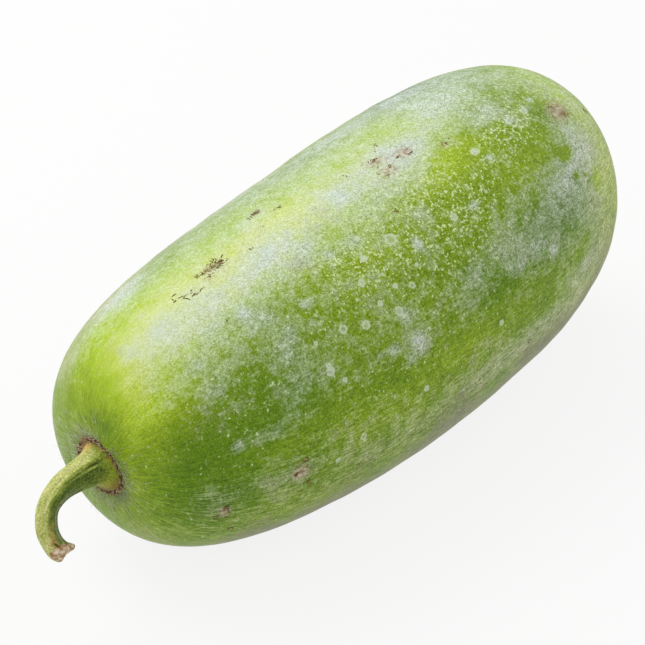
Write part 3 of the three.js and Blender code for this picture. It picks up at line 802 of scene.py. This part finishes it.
def make_threads():
    """Fine threads and specks of dark scab, each a thin closed tube that wanders over the rind. Thread k
    starts near its patch's middle, and its heading is the patch's own plus a random walk; its radius rises
    and falls as the square root of sin(pi t)."""
    places = np.array(THREADS, float)
    owner = np.repeat(np.arange(len(places)), places[:, 6].astype(int))
    at_run, at_turn, half_run, half_width, way, length = places[owner, :6].T
    count = len(owner)
    spread = np.clip(rng.normal(size=(2, count)), -1.7, 1.7)
    run = at_run + half_run * spread[0]
    turn = at_turn + np.degrees(half_width * spread[1] / body_radius(at_run))
    heading = np.radians(way) + rng.normal(0, 0.45, count)
    heading = heading[:, None] + np.cumsum(rng.normal(0, 0.28, (count, THREAD_RINGS)), 1)
    step = (length * rng.uniform(0.6, 1.4, count))[:, None] / (THREAD_RINGS - 1)
    run = run[:, None] + np.cumsum(step * np.cos(heading), 1)
    turn = turn[:, None] + np.degrees(np.cumsum(step * np.sin(heading) / body_radius(run), 1))
    _, ahead, aside, outward = rind_frame(run, turn)
    across = aside * np.cos(heading)[..., None] - ahead * np.sin(heading)[..., None]
    swelling = np.sqrt(np.sin(np.pi * np.linspace(0, 1, THREAD_RINGS)))
    thick = rng.uniform(0.16, 0.36, count)[:, None] * swelling
    points = rings_round(rind_point(run, turn), across, outward, thick[..., None], THREAD_SIDES, 0.6)
    piece = closed_tubes("scab_threads", points + SHIFT, scab_cork("scab", "#392c15", "#967d4f", 1.1))
    return piece


# ---------------------------------------------------------------- the stem


def stem_line():
    """The stem's middle line in its own plane, as distance, out, down and the unit tangent, in 1000 even
    steps. It is a centripetal Catmull-Rom curve through STEM_LINE, whose ends go on straight."""
    knots = np.array(STEM_LINE, float)
    knots = np.vstack([2 * knots[0] - knots[1], knots, 2 * knots[-1] - knots[-2]])
    t = np.linspace(0, 1, 400)[:, None]
    pieces = []
    for k in range(len(knots) - 3):
        a, b, c, d = knots[k:k + 4]
        before, here, after = (np.sqrt(np.linalg.norm(q - p)) for p, q in ((a, b), (b, c), (c, d)))
        leave = ((b - a) / before - (c - a) / (before + here) + (c - b) / here) * here
        arrive = ((c - b) / here - (d - b) / (here + after) + (d - c) / after) * here
        pieces.append(b + leave * t + (3 * (c - b) - 2 * leave - arrive) * t**2
                      + (2 * (b - c) + leave + arrive) * t**3)
    line = np.vstack(pieces)
    distance = np.concatenate([[0], np.cumsum(np.linalg.norm(np.diff(line, axis=0), axis=1))])
    even = np.linspace(0, distance[-1], 1000)
    line = np.stack([np.interp(even, distance, line[:, i]) for i in (0, 1)], -1)
    tangent = np.gradient(line, even, axis=0)
    return even, line, tangent / np.linalg.norm(tangent, axis=1, keepdims=True)


STEM_AT, STEM_PLACE, STEM_TANGENT = stem_line()
STEM_LENGTH = STEM_AT[-1]
STEM_POLE = np.array([-HALF_LENGTH + STEM_DIMPLE[0], BOW_TO_SIDE,
                      AXIS_HEIGHT + BOW_UP - MID_RADIUS * TAPER])
LEAN = np.radians(STEM_LEAN)
STEM_OUT = np.array([-1.0, 0.0, 0.0])
STEM_DOWN = np.array([0.0, -np.sin(LEAN), -np.cos(LEAN)])
STEM_SIDE = np.cross(STEM_OUT, STEM_DOWN)


def stem_radius(distance):
    """A foot that flares in a hollow curve, a waist, and a slightly thicker cut end."""
    flare = FOOT_FLARE * np.exp(-distance / FOOT_FADE)
    narrowing = smooth_step(distance, FOOT_FADE, SHANK_LENGTH)
    shank = SHANK_RADIUS + (WAIST_RADIUS - SHANK_RADIUS) * narrowing
    end = END_SWELL * smooth_step(distance, STEM_LENGTH - END_LENGTH, STEM_LENGTH)
    return np.minimum(flare + shank + end, FOOT_RADIUS)


def stem_point(distance, angle, radius):
    """A point at that distance along the stem's line and that radius from it. angle is in radians from the
    inner side of the bend."""
    held = np.clip(distance, 0, STEM_LENGTH)
    out = np.interp(held, STEM_AT, STEM_PLACE[:, 0])[..., None]
    down = np.interp(held, STEM_AT, STEM_PLACE[:, 1])[..., None]
    out_step = np.interp(held, STEM_AT, STEM_TANGENT[:, 0])[..., None]
    down_step = np.interp(held, STEM_AT, STEM_TANGENT[:, 1])[..., None]
    forward = STEM_OUT * out_step + STEM_DOWN * down_step
    inner = np.cross(np.broadcast_to(STEM_SIDE, forward.shape), forward)
    middle = STEM_POLE + STEM_OUT * out + STEM_DOWN * down + forward * (distance - held)[..., None]
    return (middle + inner * (radius * np.cos(angle))[..., None]
            + STEM_SIDE * (radius * np.sin(angle))[..., None])


def rib_height(angle):
    """Height of the ribs at that angle in degrees: 0 in a groove and about 1 on a rib."""
    return sum(share * turn_hump(angle, at, half_width) for at, half_width, share in RIBS)


def rib_share(angle, distance):
    """What the ribs, and the dents in the foot, add to the stem's radius, as a share of it."""
    grown = 0.2 + 0.8 * smooth_step(distance, *RIB_START)
    dents = sum(depth * turn_hump(angle, at, half_width) for at, half_width, depth in FOOT_DENTS)
    return (RIB_DEPTH * (rib_height(angle) - 0.5) * grown
            - dents * np.exp(-np.maximum(distance, 0) / DENT_REACH))


def ridged_stalk():
    """A woody green stalk, angular and hairy when young: straw-coloured ribs and dark green grooves with
    pale flecks, tan and yellow-green where it joins the fruit, and a torn, corky cut."""
    material, tree = new_material("ridged stalk")
    place = add(tree, "TexCoord").outputs["Object"]
    mask = attributes(tree, "tone", "foot", "tan", "cut", "dried", "crease_shade", "grey")
    run_place = add(tree, "Attribute", attribute_name="fibre").outputs["Vector"]
    strands = add(tree, "TexNoise", {"Vector": run_place, "Scale": 1.0, "Detail": 3.0, "Roughness": 0.6})
    smudges, flecks, grain = (
        add(tree, "TexNoise", {"Vector": place, "Scale": per_metre(size), "Detail": detail})
        for size, detail in ((5, 2.0), (1.1, 2.0), (0.8, 1.0)))

    # Tone: the attribute, broken up by strands, flecks and smudges
    tone = varied(tree, mask["tone"], [(strands, 1.25), (flecks, 0.45), (smudges, 0.45)])
    green = add(tree, "ValToRGB", {"Fac": tone}, stops=[
        (0.0, "#475a10"), (0.25, "#697d26"), (0.5, "#8f9d40"), (0.75, "#b8be66"), (1.0, "#d4d38c")])

    # Pale flecks, 0.5 mm across
    cells = add(tree, "TexVoronoi", {"Vector": place, "Scale": per_metre(0.9)})
    near = add(tree, "MapRange", {"Value": cells, "From Min": 0.42, "From Max": 0.22})
    chance = add(tree, "SeparateColor", {"Color": cells.outputs["Color"]})
    chosen = add(tree, "MapRange", {"Value": chance, "From Min": 0.35, "From Max": 0.75, "To Max": 0.6})
    speck = add(tree, "Math", {0: near, 1: chosen}, operation="MULTIPLY")
    speckled = add(tree, "Mix", {"Factor": speck, "A": green, "B": linear("#93a663")}, data_type="RGBA")

    # Dried, brownish smears
    worn = add(tree, "Math", {0: smudges, 1: 1.4, 2: mask["dried"]}, operation="MULTIPLY_ADD")
    straw = add(tree, "MapRange", {"Value": worn, "From Min": 0.95, "From Max": 1.55, "To Max": 0.75})
    dried = add(tree, "Mix", {"Factor": straw, "A": speckled, "B": linear("#b29653")}, data_type="RGBA")

    # A greyish strip along the inner side of the bend
    down = add(tree, "Math", {0: mask["grey"], 1: 0.5}, operation="MULTIPLY")
    greyed = add(tree, "Mix", {"Factor": down, "A": dried, "B": linear("#93957c")}, data_type="RGBA")

    # The foot: tan on one side, yellow-green on the other, with brown specks towards its edge
    ground = add(tree, "Mix", {"Factor": mask["tan"], "A": linear("#86981a"), "B": linear("#e0ba66")},
                 data_type="RGBA")
    joint = add(tree, "Math", {0: smudges, 1: 0.8, 2: mask["foot"]}, operation="MULTIPLY_ADD")
    foot = add(tree, "MapRange", {"Value": joint, "From Min": 0.55, "From Max": 1.15, "To Max": 0.9})
    footed = add(tree, "Mix", {"Factor": foot, "A": greyed, "B": ground}, data_type="RGBA")
    specks = add(tree, "Math", {0: mask["foot"], 1: 0.7, 2: flecks}, operation="MULTIPLY_ADD")
    rusty = add(tree, "Math", {0: grain, 1: 0.6, 2: specks}, operation="MULTIPLY_ADD")
    rust = add(tree, "MapRange", {"Value": rusty, "From Min": 1.38, "From Max": 1.52, "To Max": 0.85})
    rusted = add(tree, "Mix", {"Factor": rust, "A": footed, "B": linear("#74521c")}, data_type="RGBA")
    # Painted shade: the creases are darkened to a near-black brown
    crease_shaded = add(tree, "Mix", {"Factor": mask["crease_shade"], "A": rusted, "B": linear("#33290c")},
                  data_type="RGBA")

    # The cut: pinkish cork lumps with dark gaps
    lumps = add(tree, "TexVoronoi", {"Vector": place, "Scale": per_metre(2.0)})
    gaps = add(tree, "Math", {0: flecks, 1: 0.9, 2: lumps}, operation="MULTIPLY_ADD")
    hollow = add(tree, "MapRange", {"Value": gaps, "From Min": 0.62, "From Max": 1.20})
    cork = add(tree, "Mix", {"Factor": hollow, "A": linear("#f3dec2"), "B": linear("#a07a50")},
               data_type="RGBA")
    torn = add(tree, "Math", {0: flecks, 1: 0.5, 2: mask["cut"]}, operation="MULTIPLY_ADD")
    cut = add(tree, "MapRange", {"Value": torn, "From Min": 0.68, "From Max": 0.82})
    grown = add(tree, "Mix", {"Factor": cut, "A": crease_shaded, "B": cork}, data_type="RGBA")

    # Fine grain that makes it lighter and darker
    joined = add(tree, "Math", {0: mask["foot"], 1: 2.2, 2: 0.4}, operation="MULTIPLY_ADD")
    light = varied(tree, 1.0, [(grain, 1.3), (flecks, joined)])
    finished = add(tree, "VectorMath", {0: grown, "Scale": light}, operation="SCALE")

    relief = add(tree, "Math", {0: strands, 1: 1.5, 2: flecks}, operation="MULTIPLY_ADD")
    bump = add(tree, "Bump", {"Height": relief, "Distance": 0.22 * MM, "Strength": 0.6})
    stalk = add(tree, "BsdfPrincipled", {
        "Base Color": finished, "Roughness": 0.62, "Normal": bump, "IOR": 1.45,
        "Specular IOR Level": 0.30,
        "Sheen Weight": 0.14, "Sheen Roughness": 0.35, "Sheen Tint": linear("#e6dccb"),
    })
    add(tree, "OutputMaterial", {"Surface": stalk})
    return material


def make_stalk():
    """The stalk: rings of the stem's radius along its line, times 1 + ribs - dents, closed by a hidden root
    and a lumpy cut face. Towards the cut each ring slants, by CUT_SLANT (1 + cos(angle - CUT_SIDE)) / 2."""
    share = np.linspace(0, 1, STEM_RINGS)
    grown = FOOT_HEIGHT + (STEM_LENGTH - FOOT_HEIGHT) * share**STEM_CROWDING
    shank = stem_radius(grown)
    tip = shank[-1]
    face = np.linspace(0, 1, CUT_RINGS)[1:]
    domed = STEM_LENGTH + CUT_DOME * np.sin(np.pi / 2 * face)
    distance = np.concatenate([[-STEM_ROOT, -STEM_ROOT, ROOT_EDGE], grown, domed])[:, None]
    radius = np.concatenate([[0, FOOT_RADIUS, FOOT_RADIUS], shank, tip * np.sqrt(1 - face**2)])[:, None]
    turned = 360 * np.arange(STEM_SIDES)[None, :] / STEM_SIDES
    angle = np.radians(turned)
    past_cut = distance - STEM_LENGTH
    slanted = smooth_step(past_cut, -SLANTED_LENGTH, 0)
    near_cut = smooth_step(past_cut, -8, -3)
    at_cut = smooth_step(past_cut, -1.5, 0.4)

    # A crease beside the foot, and a slanting one along which the skin tore at the cut
    foot_crease = hump(distance, 8.5, 4.5) * turn_hump(turned, 123, 3.5)
    past_tear = past_cut + 5.4
    torn_crease = hump(past_tear, 0, 4.4) * turn_hump(turned, 102 - 2 * past_tear, 8)

    # Unevenness, four times as long as it is wide, and lumps on the cut
    places = stacked(distance / 4, radius * np.cos(angle), radius * np.sin(angle))
    uneven = 0.025 * waves(places, 5, 31)
    lumpy = 0.12 * waves(places * np.array([2.0, 1, 1]), 5, 32) * at_cut
    wide = (radius * (1 + rib_share(turned, distance) + uneven + lumpy)
            - CREASE_DEPTH * (foot_crease + torn_crease))
    slant = CUT_SLANT / 2 * slanted * (1 + radius / tip * np.cos(angle - np.radians(CUT_SIDE)))
    knobs = CUT_LUMPS * waves(places, 4.2, 33) * at_cut
    points = stem_point(distance - slant + knobs, angle, np.maximum(wide, 0)) + SHIFT

    # The tones wind round the stalk, by some degrees, and there are pale lines and faces on top of them
    twist = 12 * smooth_step(distance, 4, 34) + 13 * smooth_step(distance, 26, 42)
    tone = np.interp((turned + twist) % 360, *np.transpose(STALK_TONES)) + 0.12 * rib_height(turned) - 0.06
    thin_line = turn_hump(turned, 112, 3.5) * fading(distance, 14, 26)
    pale_edge = turn_hump(turned, 60, 4) * smooth_step(distance, 24, 34)
    pale_face = turn_hump(turned, 84, 40) * smooth_step(distance, 34, 50)
    pale_lip = turn_hump(turned, 116, 3) * hump(distance, 9, 5)

    # The cut's rim is ragged and reaches further up one side
    ragged = waves(places, 4, 34) + 4.0 * np.cos(angle - np.radians(85))
    values = {
        "tone": tone + 0.30 * thin_line + 0.35 * pale_edge + 0.20 * pale_face + 0.35 * pale_lip,
        "foot": np.exp(-np.maximum(distance - 1.8, 0) / 4.2) * (1 - 0.25 * turn_hump(turned, 84, 26)),
        "tan": np.clip(turn_hump(turned, 204, 26) + 0.30 * turn_hump(turned, 34, 24), 0, 1),
        "cut": smooth_step(past_cut + ragged, -1.2, -0.2),
        "dried": (0.65 * turn_hump(turned, 101, 26) * smooth_step(distance, 28, 46)
                  + 0.12 * smooth_step(distance, 20, 50) + 0.60 * turn_hump(turned, 72, 38) * near_cut),
        # Painted shade in the creases
        "crease_shade": np.clip(0.6 * foot_crease + torn_crease, 0, 1),
        "grey": turn_hump(turned, 58, 14) * smooth_step(distance, 12, 28) * (1 - near_cut),
    }
    fibre = stacked(STRANDS_ROUND * np.cos(angle), STRANDS_ROUND * np.sin(angle), distance / STRAND_LENGTH)
    piece = closed_tubes("stalk", points[None], ridged_stalk(), values, fibre)
    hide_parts("stem")
    return piece


# ---------------------------------------------------------------- the collar, fibres and bristles


def scab_cork(name, dark, light, size):
    """Dried plant cork: dead cells that weather to crumbs. The eye sees dark pits between paler, matt
    crumbs."""
    material, tree = new_material(name)
    place = add(tree, "TexCoord").outputs["Object"]
    crumbs = add(tree, "TexNoise", {"Vector": place, "Scale": per_metre(size), "Detail": 3.0,
                                    "Roughness": 0.65})
    tone = add(tree, "MapRange", {"Value": crumbs, "From Min": 0.36, "From Max": 0.64})
    brown = add(tree, "Mix", {"Factor": tone, "A": linear(dark), "B": linear(light)}, data_type="RGBA")
    bump = add(tree, "Bump", {"Height": crumbs, "Distance": 0.5 * MM, "Strength": 0.8})
    cork = add(tree, "BsdfPrincipled", {
        "Base Color": brown, "Roughness": 0.88, "Normal": bump, "IOR": 1.4, "Specular IOR Level": 0.2,
    })
    add(tree, "OutputMaterial", {"Surface": cork})
    return material


def hair_tubes(name, material, run, turn, way, length, thickness, rise, bend, sides=3, rings=6):
    """Many tapered hairs that stand on the rind. Hair k starts at run, turn and leaves in the direction
    way, in radians from straight along the run; rise is its slope off the skin, bend how much it droops or
    curls up, as a share of its length. Its radius falls as 1 - 0.9 t from root to tip."""
    here, ahead, aside, outward = rind_frame(run, turn)
    way, length, thickness, rise, bend = (
        part[:, None, None] for part in (way, length, thickness, rise, bend))
    here, ahead, aside, outward = (part[:, None] for part in (here, ahead, aside, outward))
    t = np.linspace(0, 1, rings)[:, None]
    flat = ahead * np.cos(way) + aside * np.sin(way)
    lean = flat * np.cos(rise) + outward * np.sin(rise)
    curl = np.cross(flat, outward)
    middle = here + lean * (length * t) + (outward + 0.25 * curl) * (bend * length * t**2)
    thick = thickness / 2 * (1 - 0.9 * t)
    thick[:, [0, -1]] = 0
    points = rings_round(middle, curl, np.cross(curl, lean), thick, sides)
    return closed_tubes(name, points + SHIFT, material)


def dry_bristle():
    """A dead plant hair: a hollow, colourless tube that has dried out. The eye sees a pale, dull, slightly
    green thread."""
    material, tree = new_material("dry bristle")
    place = add(tree, "TexCoord").outputs["Object"]
    tint = add(tree, "TexNoise", {"Vector": place, "Scale": per_metre(4), "Detail": 1.0})
    pale = add(tree, "Mix", {"Factor": tint, "A": linear("#e2e8c6"), "B": linear("#b4bf8e")},
               data_type="RGBA")
    hair = add(tree, "BsdfPrincipled", {"Base Color": pale, "Roughness": 0.5, "IOR": 1.45})
    add(tree, "OutputMaterial", {"Surface": hair})
    return material


def foot_run(turn):
    """The run at which the stem's foot meets the rind, by turn."""
    edge = FOOT_RADIUS * (1 + rib_share(270 - STEM_LEAN - turn, 0.0))
    near_half = OUTLINE_ALONG < 0
    return np.interp(edge, OUTLINE_RADIUS[near_half], OUTLINE_RUN[near_half])


def make_collar():
    """The scab where the stalk's foot meets the rind: a ring along the foot's edge, about 1.3 mm through,
    swollen into beads and thinned to threads by waves along it. Its ends meet."""
    turn = 360 * np.arange(COLLAR_RINGS + 1) / COLLAR_RINGS
    here, ahead, _, outward = rind_frame(foot_run(turn) + COLLAR_OUT, turn)
    place = COLLAR_RADIUS * stacked(np.cos(np.radians(turn)), np.sin(np.radians(turn)), 0.0)
    beads = 1 + 0.55 * waves(place, 3.4, 51) + 0.35 * waves(place, 1.5, 52)
    lobes = 1 + 0.15 * np.sin(3 * round_angles(COLLAR_SIDES))
    thick = np.maximum(beads, 0.2)[:, None] * lobes
    ring = rings_round(here, ahead, outward, COLLAR_WIDE * thick, COLLAR_SIDES, COLLAR_HIGH / COLLAR_WIDE)
    for end in (0, -1):
        ring[end] = ring[end].mean(0)
    piece = closed_tubes("collar", ring[None] + SHIFT,
                         scab_cork("collar scab", "#20150a", "#8a6645", 1.0))
    return piece


def make_fibres():
    """Short pinkish fibres and crumbs of torn skin round the collar: six in ten point outwards, and the
    others lie along it."""
    count = 460
    turn = rng.uniform(0, 360, count)
    piece = hair_tubes(
        "collar_fibres", scab_cork("dried fibre", "#8a6448", "#ecd4bc", 1.6),
        run=foot_run(turn) + rng.uniform(-1.4, 1.2, count),
        turn=turn,
        way=rng.normal(0, 0.5, count) + rng.choice([0, 0, 0, 1.5, -1.5], count),
        length=rng.uniform(0.9, 3.0, count),
        thickness=rng.uniform(0.28, 0.75, count),
        rise=rng.uniform(0.15, 0.9, count),
        bend=rng.uniform(-0.3, 0.1, count),
        sides=5,
    )
    return piece


def make_bristles():
    """White bristles that radiate over the rind from the stem's foot, most of them close to it."""
    count = 660
    turn = rng.uniform(118, 452, count) % 360
    out = rng.exponential(3.0, count)
    piece = hair_tubes(
        "bristles", dry_bristle(),
        run=foot_run(turn) + 0.4 + np.minimum(out, 14),
        turn=turn,
        way=rng.normal(0, 0.30, count),
        length=rng.uniform(2.5, 8.5, count),
        thickness=rng.uniform(0.10, 0.30, count),
        rise=rng.uniform(0.03, 0.50, count),
        bend=rng.uniform(-0.22, 0.08, count),
    )
    return piece


# ---------------------------------------------------------------- the blossom scar


def make_scar():
    """The corky button left by the flower: a low dome whose rim is broken by radial cracks. Its height is
    a rolled rim round a shallow middle, (1 + sin(pi r / R)) / 2, plus waves."""
    share = np.linspace(0, 1, SCAR_RINGS)[:, None]
    angle = round_angles(SCAR_SIDES)
    in_root = share < SCAR_ROOT_SHARE
    reach = np.where(in_root, share / SCAR_ROOT_SHARE, (1 - share) / (1 - SCAR_ROOT_SHARE))
    level = np.where(in_root, -SCAR_ROOT, SCAR_HEIGHT * (0.5 + 0.5 * np.sin(np.pi * reach)))
    cracks = 1 + 0.10 * np.cos(7 * angle + 3 * share) + 0.05 * np.cos(13 * angle)
    wide = SCAR_RADIUS * reach * cracks
    y, z = wide * np.cos(angle), wide * np.sin(angle)
    level = level + 0.25 * waves(stacked(level, y, z), 2.2, 61) * (share > 0.2)
    low, high = (np.array(corner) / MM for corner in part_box("blossom_scar"))
    centre = (low + high) / 2
    points = stacked(high[0] - SCAR_HEIGHT + level, centre[1] + y, centre[2] + z)
    piece = closed_tubes("scar_button", points[None], scab_cork("scar cork", "#3b2a18", "#8a7048", 1.5))
    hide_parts("blossom_scar")
    return piece


make_skin()
make_stalk()
make_collar()
make_fibres()
make_bristles()
make_scar()
make_threads()

# ---------------------------------------------------------------- camera, floor and light

CAMERA_TURN = -48.765       # degrees round the melon: 0 looks along +Y
CAMERA_RISE = 35.945        # degrees above the horizon
CAMERA_AWAY = 954.5         # from the point it looks at
CAMERA_ASIDE = -18.514      # from the melon's middle to that point, to the right in the view
CAMERA_UP = -10.871         # and up
CAMERA_LENS = 110

LAMP_WAY = (-0.08, 0.62, 0.78)   # from the melon to the lamp
LAMP_AIM = 70.0             # height that it points at
LAMP_AWAY = 1400.0
LAMP_WIDTH = 1000.0
LAMP_POWER = 9.0            # in watts
SKY_LIGHT = 0.72            # strength at which the world lights the melon
FLOOR_HALF = 3000.0
FLOOR_BELOW = 0.2


def make_camera():
    """The camera looks down on the melon from the stem end, its view turned so that +Z stays upright."""
    turn, rise = np.radians(CAMERA_TURN), np.radians(CAMERA_RISE)
    back = np.array([np.sin(turn) * np.cos(rise), -np.cos(turn) * np.cos(rise), np.sin(rise)])
    right = np.array([np.cos(turn), np.sin(turn), 0])
    up = np.cross(back, right)
    middle = SHIFT + [0, 0, AXIS_HEIGHT]
    place = middle + CAMERA_ASIDE * right + CAMERA_UP * up + CAMERA_AWAY * back
    axes = Matrix((right, up, back)).transposed().to_4x4()
    data = bpy.data.cameras.new("camera")
    data.lens = CAMERA_LENS
    data.sensor_width = 36
    data.clip_start = 0.01
    camera = bpy.data.objects.new("camera", data)
    camera.matrix_world = Matrix.Translation(Vector(place * MM)) @ axes
    bpy.context.scene.collection.objects.link(camera)
    bpy.context.scene.camera = camera


def seen_plainly(tree):
    """1 for what the camera sees, by itself, in a reflection or through something clear, and 0 for the
    light that falls on the melon."""
    path = add(tree, "LightPath")
    seen = path.outputs["Is Camera Ray"]
    for ray in ("Is Glossy Ray", "Is Transmission Ray"):
        seen = add(tree, "Math", {0: seen, 1: path.outputs[ray]}, operation="MAXIMUM")
    return seen


def pale_floor():
    """A matt white table. What the camera sees of it is mostly plain white, so that the shadow stays
    soft, while the light it throws back is that of the table."""
    material, tree = new_material("pale floor")
    share = add(tree, "Math", {0: seen_plainly(tree), 1: 0.85}, operation="MULTIPLY")
    matt = add(tree, "BsdfDiffuse", {"Color": linear("#ececea")})
    white = add(tree, "Emission", {"Color": linear("#ffffff"), "Strength": 1.0})
    mixed = add(tree, "MixShader", {0: share, 1: matt, 2: white})
    add(tree, "OutputMaterial", {"Surface": mixed})
    return material


def make_floor():
    """A flat square sheet, 6 m wide, just under the melon."""
    half = FLOOR_HALF * MM
    corners = [(-half, -half), (half, -half), (half, half), (-half, half)]
    mesh = bpy.data.meshes.new("floor")
    mesh.from_pydata([(x, y, -FLOOR_BELOW * MM) for x, y in corners], [], [(0, 1, 2, 3)])
    mesh.materials.append(pale_floor())
    floor = bpy.data.objects.new("floor", mesh)
    bpy.context.scene.collection.objects.link(floor)


def make_light():
    """A broad soft lamp above and behind the melon, and an even pale world."""
    data = bpy.data.lights.new("window", "AREA")
    data.shape = "SQUARE"
    data.size = LAMP_WIDTH * MM
    data.energy = LAMP_POWER
    lamp = bpy.data.objects.new("window", data)
    toward = Vector(LAMP_WAY).normalized()
    lamp.location = Vector((0, 0, LAMP_AIM * MM)) + toward * (LAMP_AWAY * MM)
    lamp.rotation_mode = "QUATERNION"
    lamp.rotation_quaternion = toward.to_track_quat("Z", "Y")
    bpy.context.scene.collection.objects.link(lamp)
    world = bpy.data.worlds.new("studio")
    world.use_nodes = True
    tree = world.node_tree
    tree.nodes.clear()
    strength = add(tree, "MapRange", {"Value": seen_plainly(tree), "To Min": SKY_LIGHT})
    sky = add(tree, "Background", {"Color": linear("#ffffff"), "Strength": strength})
    add(tree, "OutputWorld", {"Surface": sky})
    bpy.context.scene.world = world


make_camera()
make_floor()
make_light()
bpy.context.scene.view_settings.view_transform = "Standard"
